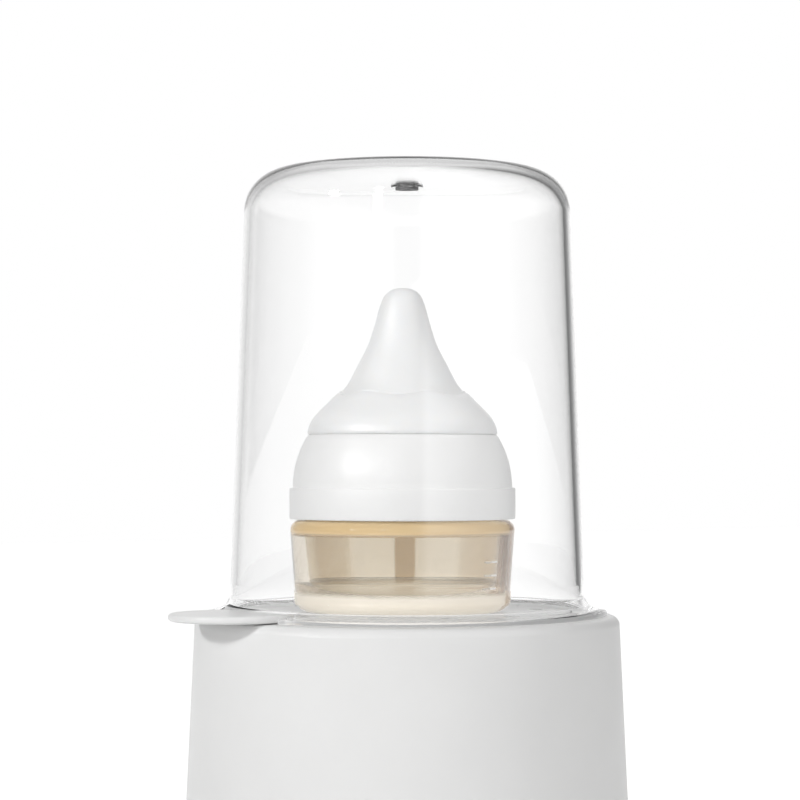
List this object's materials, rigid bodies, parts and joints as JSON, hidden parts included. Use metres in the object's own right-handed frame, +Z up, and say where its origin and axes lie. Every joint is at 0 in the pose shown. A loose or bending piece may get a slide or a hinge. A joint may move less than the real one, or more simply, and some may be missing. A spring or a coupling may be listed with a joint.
{
  "type": "steam bottle sterilizer",
  "caption": "Compact steam sterilizer: tapered white base, clear lift-off dome with a vent, lift-out tray with a finger tab, and a small baby bottle inside.",
  "frame": {"origin": "centre of the base on the plane that the feet stand on", "axes": "+Z up through the dome, -X towards the finger tab, -Y towards the power button"},
  "size_m": [0.1377, 0.128, 0.2188],
  "materials": {
    "base_white": "fine satin moulded plastic",
    "tray_white": "smooth satin plastic",
    "dome_clear": "clear polished moulded plastic",
    "grommet_grey": "matte grey silicone",
    "amber_clear": "amber tinted polished plastic",
    "collar_white": "soft-gloss white plastic",
    "teat_silicone": "milky soft silicone",
    "dish_steel": "brushed stainless steel",
    "heater_aluminium": "cast aluminium",
    "element_steel": "heat-tinted steel tube",
    "clamp_steel": "zinc plated sheet",
    "screw_steel": "zinc plated",
    "seal_silicone": "translucent white silicone",
    "foot_rubber": "soft dark grey rubber",
    "cover_grey": "fine textured plastic",
    "board_green": "solder-masked circuit board",
    "component_black": "moulded component cases",
    "relay_blue": "relay case",
    "capacitor_sleeve": "shrink sleeve",
    "terminal_green": "terminal housing",
    "thermostat_black": "phenolic case",
    "sensor_metal": "sensor cup",
    "button_white": "satin button cap",
    "light_ring_white": "translucent light guide",
    "inlet_black": "moulded inlet",
    "pin_brass": "nickel-tinged brass pin"
  },
  "bodies": {
    "base": {"housing": "base_white", "bottom_cover": "cover_grey", "feet": "foot_rubber", "bottom_screws": "screw_steel", "heating_dish": "dish_steel", "dish_seal": "seal_silicone", "heat_spreader": "heater_aluminium", "heating_element": "element_steel", "heater_clamp": "clamp_steel", "clamp_screws": "screw_steel", "thermal_cutout": "thermostat_black", "temperature_sensor": "sensor_metal", "main_board": "board_green", "board_screws": "screw_steel", "transformer": "component_black", "relay": "relay_blue", "capacitors": "capacitor_sleeve", "terminal_block": "terminal_green", "light_ring": "light_ring_white", "switch_board": "board_green", "tactile_switch": "component_black", "mains_inlet": "inlet_black", "inlet_pins": "pin_brass"},
    "button": {"power_button": "button_white"},
    "tray": {"steam_tray": "tray_white", "bottle_body": "amber_clear"},
    "lid": {"dome": "dome_clear", "vent_grommet": "grommet_grey"},
    "closure": {"bottle_collar": "collar_white", "bottle_teat": "teat_silicone"}
  },
  "joints": [
    {"name": "tray_lift", "type": "slide", "parent": "base", "child": "tray", "axis": [0, 0, 1], "range_m": [0, 0.12]},
    {"name": "dome_lift", "type": "slide", "parent": "tray", "child": "lid", "axis": [0, 0, 1], "range_m": [0, 0.15]},
    {"name": "closure_lift", "type": "slide", "parent": "tray", "child": "closure", "axis": [0, 0, 1], "range_m": [0, 0.02]},
    {"name": "button_press", "type": "slide", "parent": "base", "child": "button", "axis": [0, 1, 0], "range_m": [0, 0.0008], "stiffness_N_per_m": 900}
  ]
}
